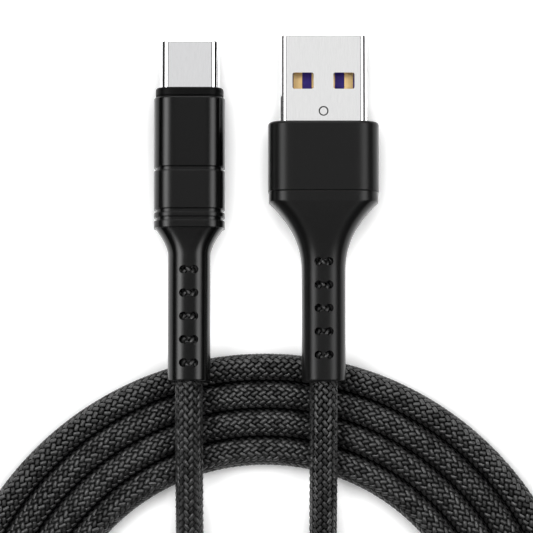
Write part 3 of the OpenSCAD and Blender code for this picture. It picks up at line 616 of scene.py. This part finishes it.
def lofted(name, place, sections, material, soft=SOFT):
    """A hollow solid skinned over its sections, outside and then inside, and closed on itself."""
    rings = [[(x, y, z) for x, z in rounded(w, h, r, soft)] for y, w, h, r in sections]
    points = place.world([p for ring in rings for p in ring])
    faces = skin_faces(len(rings) + 1, len(rings[0])) % len(points)
    mesh = bpy.data.meshes.new(name)
    mesh.from_pydata(points.tolist(), [], faces.tolist())
    mesh.update()
    mesh.shade_smooth()
    mesh.set_sharp_from_angle(angle=math.radians(SHARP))
    piece = add_piece(name, mesh, material)
    fix_normals(piece.data)
    return piece


def fix_normals(mesh):
    """Turns every face of a closed mesh outwards."""
    bm = bmesh.new()
    bm.from_mesh(mesh)
    bmesh.ops.recalc_face_normals(bm, faces=bm.faces)
    bm.to_mesh(mesh)
    bm.free()


ON_SURFACE = 0.003           # a face this near the old surface is a part of it
SAME_WAY = 0.9               # the least cosine between two normals of one surface


def carry_normals(mesh, before):
    """Shades the faces that are left of a smooth surface as that surface was before the cut."""
    tree = BVHTree.FromPolygons([v.co for v in before.vertices],
                                [tuple(p.vertices) for p in before.polygons])
    normals = [Vector(n.vector) for n in mesh.corner_normals]
    for poly in mesh.polygons:
        _, way, _, distance = tree.find_nearest(poly.center)
        if distance > ON_SURFACE * MM or poly.normal.dot(way) < SAME_WAY:
            continue
        for corner in poly.loop_indices:
            place, _, index, _ = tree.find_nearest(mesh.vertices[mesh.loops[corner].vertex_index].co)
            under = before.polygons[index]
            shares = poly_3d_calc([before.vertices[i].co for i in under.vertices], place)
            normal = sum((before.corner_normals[i].vector * share
                          for i, share in zip(under.loop_indices, shares)), Vector())
            if normal.dot(poly.normal) > SAME_WAY * normal.length:
                normals[corner] = normal.normalized()
    mesh.normals_split_custom_set(normals)


def cut(obj, cutters, bevel=0.0):
    """Subtracts the cutters from the piece, and rounds the new edges off."""
    bm = bmesh.new()
    for points, faces in cutters:
        verts = [bm.verts.new(tuple(p)) for p in points]
        for f in faces:
            bm.faces.new([verts[i] for i in f])
    bmesh.ops.recalc_face_normals(bm, faces=bm.faces)
    mesh = bpy.data.meshes.new("cutter")
    bm.to_mesh(mesh)
    bm.free()
    cutter = bpy.data.objects.new("cutter", mesh)
    bpy.context.collection.objects.link(cutter)
    mod = obj.modifiers.new("cut", "BOOLEAN")
    mod.operation = "DIFFERENCE"
    mod.solver = "EXACT"
    mod.object = cutter
    if bevel:
        edge = obj.modifiers.new("edge", "BEVEL")
        edge.width = bevel * MM
        edge.segments = 2
        edge.limit_method = "ANGLE"
        edge.angle_limit = math.radians(48)
    depsgraph = bpy.context.evaluated_depsgraph_get()
    result = bpy.data.meshes.new_from_object(obj.evaluated_get(depsgraph))
    obj.modifiers.clear()
    old = obj.data
    obj.data = result
    result.name = obj.name
    bpy.data.objects.remove(cutter)
    bpy.data.meshes.remove(mesh)
    result.shade_smooth()
    result.set_sharp_from_angle(angle=math.radians(SHARP))
    carry_normals(result, old)
    bpy.data.meshes.remove(old)


def prism(place, outline, z, height):
    """A cutter with an outline of points (x, y), from z up."""
    points = place.world([(x, y, level) for level in (z, z + height) for x, y in outline])
    return points, drum_faces(len(outline))


# A dimple's wall, in depths: how far in its foot is, and how far out and over the face it goes.
DISH_IN, DISH_OUT, DISH_OVER = 1.54, 0.31, 0.2


def dish(place, y, z, side, d, depth, steps=32):
    """A cutter for a round dimple with a sloped wall, in the face at z that looks to its side."""
    rings = [(d / 2 - DISH_IN * depth, z - side * depth),
             (d / 2 + DISH_OUT * depth, z + side * DISH_OVER * depth)]
    turn = [2 * math.pi * i / steps for i in range(steps)]
    points = [(r * math.cos(a), y + r * math.sin(a), level) for r, level in rings for a in turn]
    return place.world(points), drum_faces(steps)


def bone(y, w, l, waist, steps=18):
    """Outline of a slot with two round ends and a narrow waist, round the place (0, y)."""
    r, cx = l / 2, (w - l) / 2
    dip = math.asin(waist / l)
    right = [(cx + r * math.cos(a), y + r * math.sin(a))
             for a in np.linspace(-math.pi + dip, math.pi - dip, steps)]
    return right + [(-x, 2 * y - v) for x, v in right]


def tablet(x, y, w, l, r, steps=5):
    """Outline of a rounded rectangle, round the place (x, y)."""
    out = []
    for sx, sy, start in CORNERS:
        for i in range(steps + 1):
            a = math.radians(start + 90 * i / steps)
            out.append((x + sx * (w / 2 - r) + r * math.cos(a), y + sy * (l / 2 - r) + r * math.sin(a)))
    return out


# ---------------------------------------------------------------- the plugs

BORE_D, BORE_MOUTH = 4.0, 0.15         # the boots' bore for the cord, and its chamfer
BARREL_D = 4.5                         # the room for the crimped barrel
BOOT_R, BOOT_EDGE = 2.2, 0.25
SLOT_W, SLOT_L, SLOT_WAIST, SLOT_PITCH, SLOT_COUNT = 2.6, 1.12, 0.72, 3.18, 5
SLOT_EDGE = 0.05
SLOT_FLOOR, SLOT_CUT = 1.2, 4.0        # a slot's floor from the axis, and its cutter's height
GAP = 0.05                             # the room round a shell in its pocket


def slots(place, first):
    """Cutters for the boot's slots on its two faces; first is the y of the lowest."""
    return [prism(place, bone(first + i * SLOT_PITCH, SLOT_W, SLOT_L, SLOT_WAIST), z, SLOT_CUT)
            for i in range(SLOT_COUNT) for z in (SLOT_FLOOR, -SLOT_FLOOR - SLOT_CUT)]


FLARE_EASE, FLARE_HOLLOW = 0.35, 1.8


def ease(t):
    """A straight course with its ends eased in, for a flare's thickness."""
    return t - FLARE_EASE * math.sin(2 * math.pi * t) / (2 * math.pi)


def hollow(t):
    """A concave course, for a flare's thickness."""
    return t ** FLARE_HOLLOW


def flare(y, end_y, boot_w, w, h, r, power, thickness, steps=40):
    """Sections from the housing at end_y back down to the boot at y."""
    out = []
    for i in range(steps, -1, -1):
        t = i / steps
        out.append((y + (end_y - y) * t, boot_w + (w - boot_w) * t ** power,
                    boot_w + (h - boot_w) * thickness(t), BOOT_R + (r - BOOT_R) * t))
    return out


def boot_end(boot_w, bore_end):
    """Sections over the boot's rounded end and along the bore inside it."""
    return (lip(0, boot_w, boot_w, BOOT_R, BOOT_EDGE, -1, 5)
            + [disc(0, BORE_D + 2 * BORE_MOUTH), disc(BORE_MOUTH, BORE_D), disc(bore_end, BORE_D)])


def shell_sections(start, middle, tip, outer, inner, edge, mouth):
    """Sections of a plug's shell: outside with a rounded edge, and inside with a chamfer."""
    return ([(start, *outer), (middle, *outer)] + lip(tip, *outer, edge, 1)
            + [(tip, *grown(*inner, mouth)), (tip - mouth, *inner), (start, *inner)])


def make_plug_a(finish):
    """The USB-A plug's sleeve, boot and shell, which stand for their CAD nodes."""
    flare_y, rear_y, seam_y, front_y, shell_y = 14.9, 24.6, 26.0, 35.55, 30.05
    bore_end, barrel_end = 21.15, 25.15
    seam_edge, front_edge, rear_edge, tip_edge = 0.08, 0.4, 0.1, 0.14
    wall, front, boot_w, flare_power, first_slot = 0.9, 1.0, 6.0, 2.3, 3.6
    body = (15.2, 8.0, 2.7)
    room, rear = grown(*body, -wall), grown(*body, -0.1)
    shell, shell_inside = (12.0, 4.5, 0.95), (11.4, 3.9, 0.45)
    pocket = grown(*shell, GAP)

    sleeve = lofted(
        "usb_a_sleeve_piece", PLUG_A,
        back(lip(seam_y, *body, seam_edge, -1)) + lip(front_y, *body, front_edge, 1, 8)
        + [(front_y, *grown(*pocket, GAP)), (front_y - GAP, *pocket),
           (front_y - front, *pocket), (front_y - front, *room), (seam_y, *room)],
        finish["sleeve_a"])
    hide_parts("usb_a_front_sleeve")

    relief = lofted(
        "usb_a_relief_piece", PLUG_A,
        back(lip(seam_y, *rear, rear_edge, 1)) + [(rear_y + 0.02, *rear)]
        + flare(flare_y, rear_y, boot_w, *rear, flare_power, ease) + boot_end(boot_w, bore_end)
        + [disc(bore_end, BARREL_D), disc(barrel_end, BARREL_D), (barrel_end, *pocket),
           (seam_y, *pocket)],
        finish["boot_rubber"])
    cut(relief, slots(PLUG_A, first_slot), SLOT_EDGE)
    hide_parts("usb_a_strain_relief")

    shell_piece = lofted(
        "usb_a_shell_piece", PLUG_A,
        shell_sections(shell_y, front_y, A_TIP, shell, shell_inside, tip_edge, 0.1),
        finish["plug_steel"], soft=1.0)
    window_x, window_w, window_l, window_r, window_from_tip = 2.8, 2.9, 2.25, 0.28, 5.2
    window_y = A_TIP - window_from_tip - window_l / 2
    window_z, window_cut = 1.2, 2.0
    holes = [prism(PLUG_A, tablet(side * window_x, window_y, window_w, window_l, window_r), z, window_cut)
             for side in (-1, 1) for z in (window_z, -window_z - window_cut)]
    dimple_d, dimple_depth, dimple_y = 1.35, 0.11, front_y + 1.5
    holes += [dish(PLUG_A, dimple_y, side * shell[1] / 2, side, dimple_d, dimple_depth)
              for side in (-1, 1)]
    cut(shell_piece, holes)
    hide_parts("usb_a_shell")


def make_plug_c(finish):
    """The USB-C plug's sleeves, collar, boot and shell, which stand for their CAD nodes."""
    flare_y, end_y, ring_y, rear_y, seam_y = 17.4, 21.0, 22.48, 23.58, 29.36
    neck_y, collar_y, front_y, shell_y = 39.01, 39.23, 40.33, 35.23
    end_l, ring_l, seam_l = 1.0, 0.62, 0.48
    bore_end, barrel_end = 21.6, end_y + 1.2
    seam_edge, neck_edge, ring_edge, rear_edge = 0.1, 0.2, 0.07, 0.1
    collar_edge, front_edge, tip_edge = 0.05, 0.25, 0.13
    boot_w, boot_core, flare_power, first_slot = 5.85, (8.7, 5.4, 1.75), 1.6, 2.5
    body, bore = (9.8, 6.5, 2.3), (8.8, 5.5, 1.8)
    groove, end = grown(*body, -0.3), grown(*body, -0.23)
    shell = (8.25, 2.4, 1.18)
    pocket = grown(*shell, GAP)

    front = lofted(
        "usb_c_front_sleeve_piece", PLUG_C,
        back(lip(seam_y, *body, seam_edge, -1)) + lip(neck_y, *body, neck_edge, 1, 6)
        + [(neck_y, *bore), (seam_y, *bore)],
        finish["sleeve_c"])
    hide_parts("usb_c_front_sleeve")

    # Three bands stand out from the rear sleeve, with a groove after each.
    outer = []
    for start, stop, groove_end, edge in ((end_y, end_y + end_l, ring_y, ring_edge),
                                          (ring_y, ring_y + ring_l, rear_y, ring_edge),
                                          (rear_y, seam_y - seam_l, seam_y - 0.01, rear_edge)):
        outer += back(lip(start, *body, edge, -1, 3)) + lip(stop, *body, edge, 1, 3)
        outer += [(stop, *groove), (groove_end, *groove)]
    rear = lofted("usb_c_rear_sleeve_piece", PLUG_C,
                  outer + [(seam_y - 0.01, *bore), (end_y, *bore)],
                  finish["sleeve_c_rear"])
    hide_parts("usb_c_rear_sleeve")

    neck = grown(*end, -0.2)
    collar = lofted(
        "usb_c_collar_piece", PLUG_C,
        [(neck_y, *neck), (collar_y, *neck)] + back(lip(collar_y, *end, collar_edge, -1, 2))
        + lip(front_y, *end, front_edge, 1, 6)
        + [(front_y, *grown(*pocket, GAP)), (front_y - GAP, *pocket), (neck_y, *pocket)],
        finish["collar_plastic"])
    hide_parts("usb_c_collar")

    relief = lofted(
        "usb_c_relief_piece", PLUG_C,
        [(barrel_end, *boot_core), (end_y, *boot_core)]
        + flare(flare_y, end_y, boot_w, *end, flare_power, hollow) + boot_end(boot_w, bore_end)
        + [disc(barrel_end, BARREL_D)],
        finish["boot_rubber_c"])
    cut(relief, slots(PLUG_C, first_slot), SLOT_EDGE)
    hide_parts("usb_c_strain_relief")

    shell_piece = lofted(
        "usb_c_shell_piece", PLUG_C,
        shell_sections(shell_y, front_y, C_TIP, shell, grown(*shell, -0.22), tip_edge, 0.05),
        finish["plug_steel_c"])
    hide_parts("usb_c_shell")
    return [front, rear, collar, relief, shell_piece]


def make_boot_cords(finish):
    """The braid and its core inside each boot, which the slots show."""
    for name, place, length in (("usb_a", PLUG_A, 21.0), ("usb_c", PLUG_C, 22.0)):
        y = np.linspace(-0.2, length, int(length / BRAID_STEP))
        line = place.world(np.stack([0 * y, y, 0 * y], axis=1)) / MM
        side, up = frames_along(line)
        few = slice(None, None, CORE_EVERY)
        reach = np.full((len(line[few]), 2), CORE_R)
        points, faces = tube_arrays(line[few], side[few], up[few], reach, END_CORE_SIDES)
        core = add_grid_piece(name + "_core_end", points, faces, finish["cord_core"])
        points, faces, tones_and_shade = braid_arrays(line, side, up)
        # Painted light: this braid is lightened against the shade of the slots.
        add_grid_piece(name + "_braid_end", points, faces, finish["cord_braid"],
                       tones_and_shade * END_PAINTED_LIGHT)
        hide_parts(name + "_cord_end")


# ---------------------------------------------------------------- floor and light

# The floor's sizes are in metres.
FLOOR_FLAT, FLOOR_R, WALL_R, WALL_H = 0.4, 2.0, 0.25, 0.3
FLOOR_SIDES, WALL_STEPS = 64, 12
FLOOR_GREY = 0.82
GLOW = 0.95                  # what the floor adds for the eye
SHADE_REACH = 3.5            # how near a piece must be to take from what the floor adds
SHADE_POWER, SHADE_SAMPLES = 2.0, 8


def floor_mesh():
    """A flat floor that turns up into a low wall all round."""
    profile = [(FLOOR_FLAT, 0.0), (FLOOR_R, 0.0)]
    for i in range(1, WALL_STEPS + 1):
        a = math.radians(90 * i / WALL_STEPS)
        profile.append((FLOOR_R + WALL_R * math.sin(a), WALL_R * (1 - math.cos(a))))
    profile.append((FLOOR_R + WALL_R, WALL_H))
    turn = [2 * math.pi * i / FLOOR_SIDES for i in range(FLOOR_SIDES)]
    points = [(r * math.cos(a), r * math.sin(a), z) for r, z in profile for a in turn]
    faces = [(len(points), i, (i + 1) % FLOOR_SIDES) for i in range(FLOOR_SIDES)]
    faces += skin_faces(len(profile), FLOOR_SIDES).tolist()
    mesh = bpy.data.meshes.new("floor")
    mesh.from_pydata(points + [(0, 0, 0)], [], faces)
    mesh.shade_smooth()
    return mesh


def make_floor():
    """A plain pale sheet that shows white: it glows for the eye alone, and less beside a piece."""
    m = Nodes("floor_white")
    rays = m.add("ShaderNodeLightPath")
    seen = rays.outputs["Is Camera Ray"]
    for other in ("Is Glossy Ray", "Is Transmission Ray"):
        seen = m.calc("MAXIMUM", seen, rays.outputs[other])
    open_sky = m.add("ShaderNodeAmbientOcclusion", samples=SHADE_SAMPLES)
    open_sky.inputs["Distance"].default_value = SHADE_REACH * MM
    shade = m.calc("POWER", open_sky.outputs["AO"], SHADE_POWER)
    m.set(Base_Color=(FLOOR_GREY, FLOOR_GREY, FLOOR_GREY, 1), Roughness=0.9,
          Specular_IOR_Level=0.0, Emission_Color=(1, 1, 1, 1),
          Emission_Strength=m.calc("MULTIPLY", m.calc("MULTIPLY", seen, GLOW), shade))
    mesh = floor_mesh()
    mesh.materials.append(m.material)
    floor = bpy.data.objects.new("floor", mesh)
    bpy.context.collection.objects.link(floor)


# A lamp's place as seen from what it lights: azimuth, angle off the vertical and distance in
# metres. Then its width and height in metres, and its brightness as it is seen.
LAMPS = {
    "left": (158, 33, 0.7, 0.40, 0.36, 2.1),
    "left_core": (160, 31, 0.69, 0.2, 0.36, 3.2),
    "right": (22, 33, 0.7, 0.40, 0.36, 1.8),
    "right_core": (20, 31, 0.69, 0.2, 0.36, 2.0),
    "key": (90, 55, 0.75, 0.4, 0.24, 4.6),
    "over": (90, 16, 1.0, 0.16, 0.14, 0.58),
    "behind": (270, 14, 1.0, 0.2, 0.24, 0.6),
}
LAMP_AIM = (0, -0.02, 0.005)
LAMP_ENERGY = 4              # per square metre and unit of brightness
SKY_WAY = (0.0, 0.35, 0.937)
SKY_FROM, SKY_DARK, SKY_LIGHT = 0.5, 0.010, 0.14


def softbox(name, azimuth, off_vertical, distance, width, height, radiance):
    """A rectangular lamp that looks at the plugs."""
    a, t = math.radians(azimuth), math.radians(off_vertical)
    data = bpy.data.lights.new(name, "AREA")
    data.shape = "RECTANGLE"
    data.size, data.size_y = width, height
    data.energy = radiance * LAMP_ENERGY * width * height
    lamp = bpy.data.objects.new(name, data)
    bpy.context.collection.objects.link(lamp)
    z = np.array([math.sin(t) * math.cos(a), math.sin(t) * math.sin(a), math.cos(t)])
    x = np.cross([0.0, 1.0, 0.0], z)
    x /= np.linalg.norm(x)
    pose = np.eye(4)
    pose[:3] = np.stack([x, np.cross(z, x), z, np.array(LAMP_AIM) + z * distance], axis=1)
    lamp.matrix_world = Matrix(pose)


def make_light():
    """Soft boxes, and a sky that is brightest above the plugs' tips and dark behind the coil."""
    world = bpy.data.worlds.new("world")
    bpy.context.scene.world = world
    world.use_nodes = True
    tree = world.node_tree
    back_light = tree.nodes["Background"]
    back_light.inputs["Color"].default_value = (1, 1, 1, 1)
    where = tree.nodes.new("ShaderNodeTexCoord")
    along = tree.nodes.new("ShaderNodeVectorMath")
    along.operation = "DOT_PRODUCT"
    along.inputs[1].default_value = SKY_WAY
    level = tree.nodes.new("ShaderNodeMapRange")
    level.inputs["From Min"].default_value = SKY_FROM
    level.inputs["To Min"].default_value = SKY_DARK
    level.inputs["To Max"].default_value = SKY_LIGHT
    tree.links.new(where.outputs["Generated"], along.inputs[0])
    tree.links.new(along.outputs["Value"], level.inputs["Value"])
    tree.links.new(level.outputs["Result"], back_light.inputs["Strength"])
    for name, lamp in LAMPS.items():
        softbox(name, *lamp)


# ---------------------------------------------------------------- the scene

def main():
    bpy.context.scene.view_settings.view_transform = "Standard"
    make_camera()
    finish = make_materials()
    dress_cad_nodes(finish)
    core, braids, line, length = make_cord(finish)
    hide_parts("cord_lead_usb_a", "cord_coil", "cord_lead_usb_c")
    make_plug_a(finish)
    plug = make_plug_c(finish) + [bpy.data.objects[n] for n in (
        "usb_c_contact_carrier", "usb_c_upper_contacts", "usb_c_lower_contacts", "usb_c_core")]
    make_boot_cords(finish)
    make_floor()
    make_light()


main()
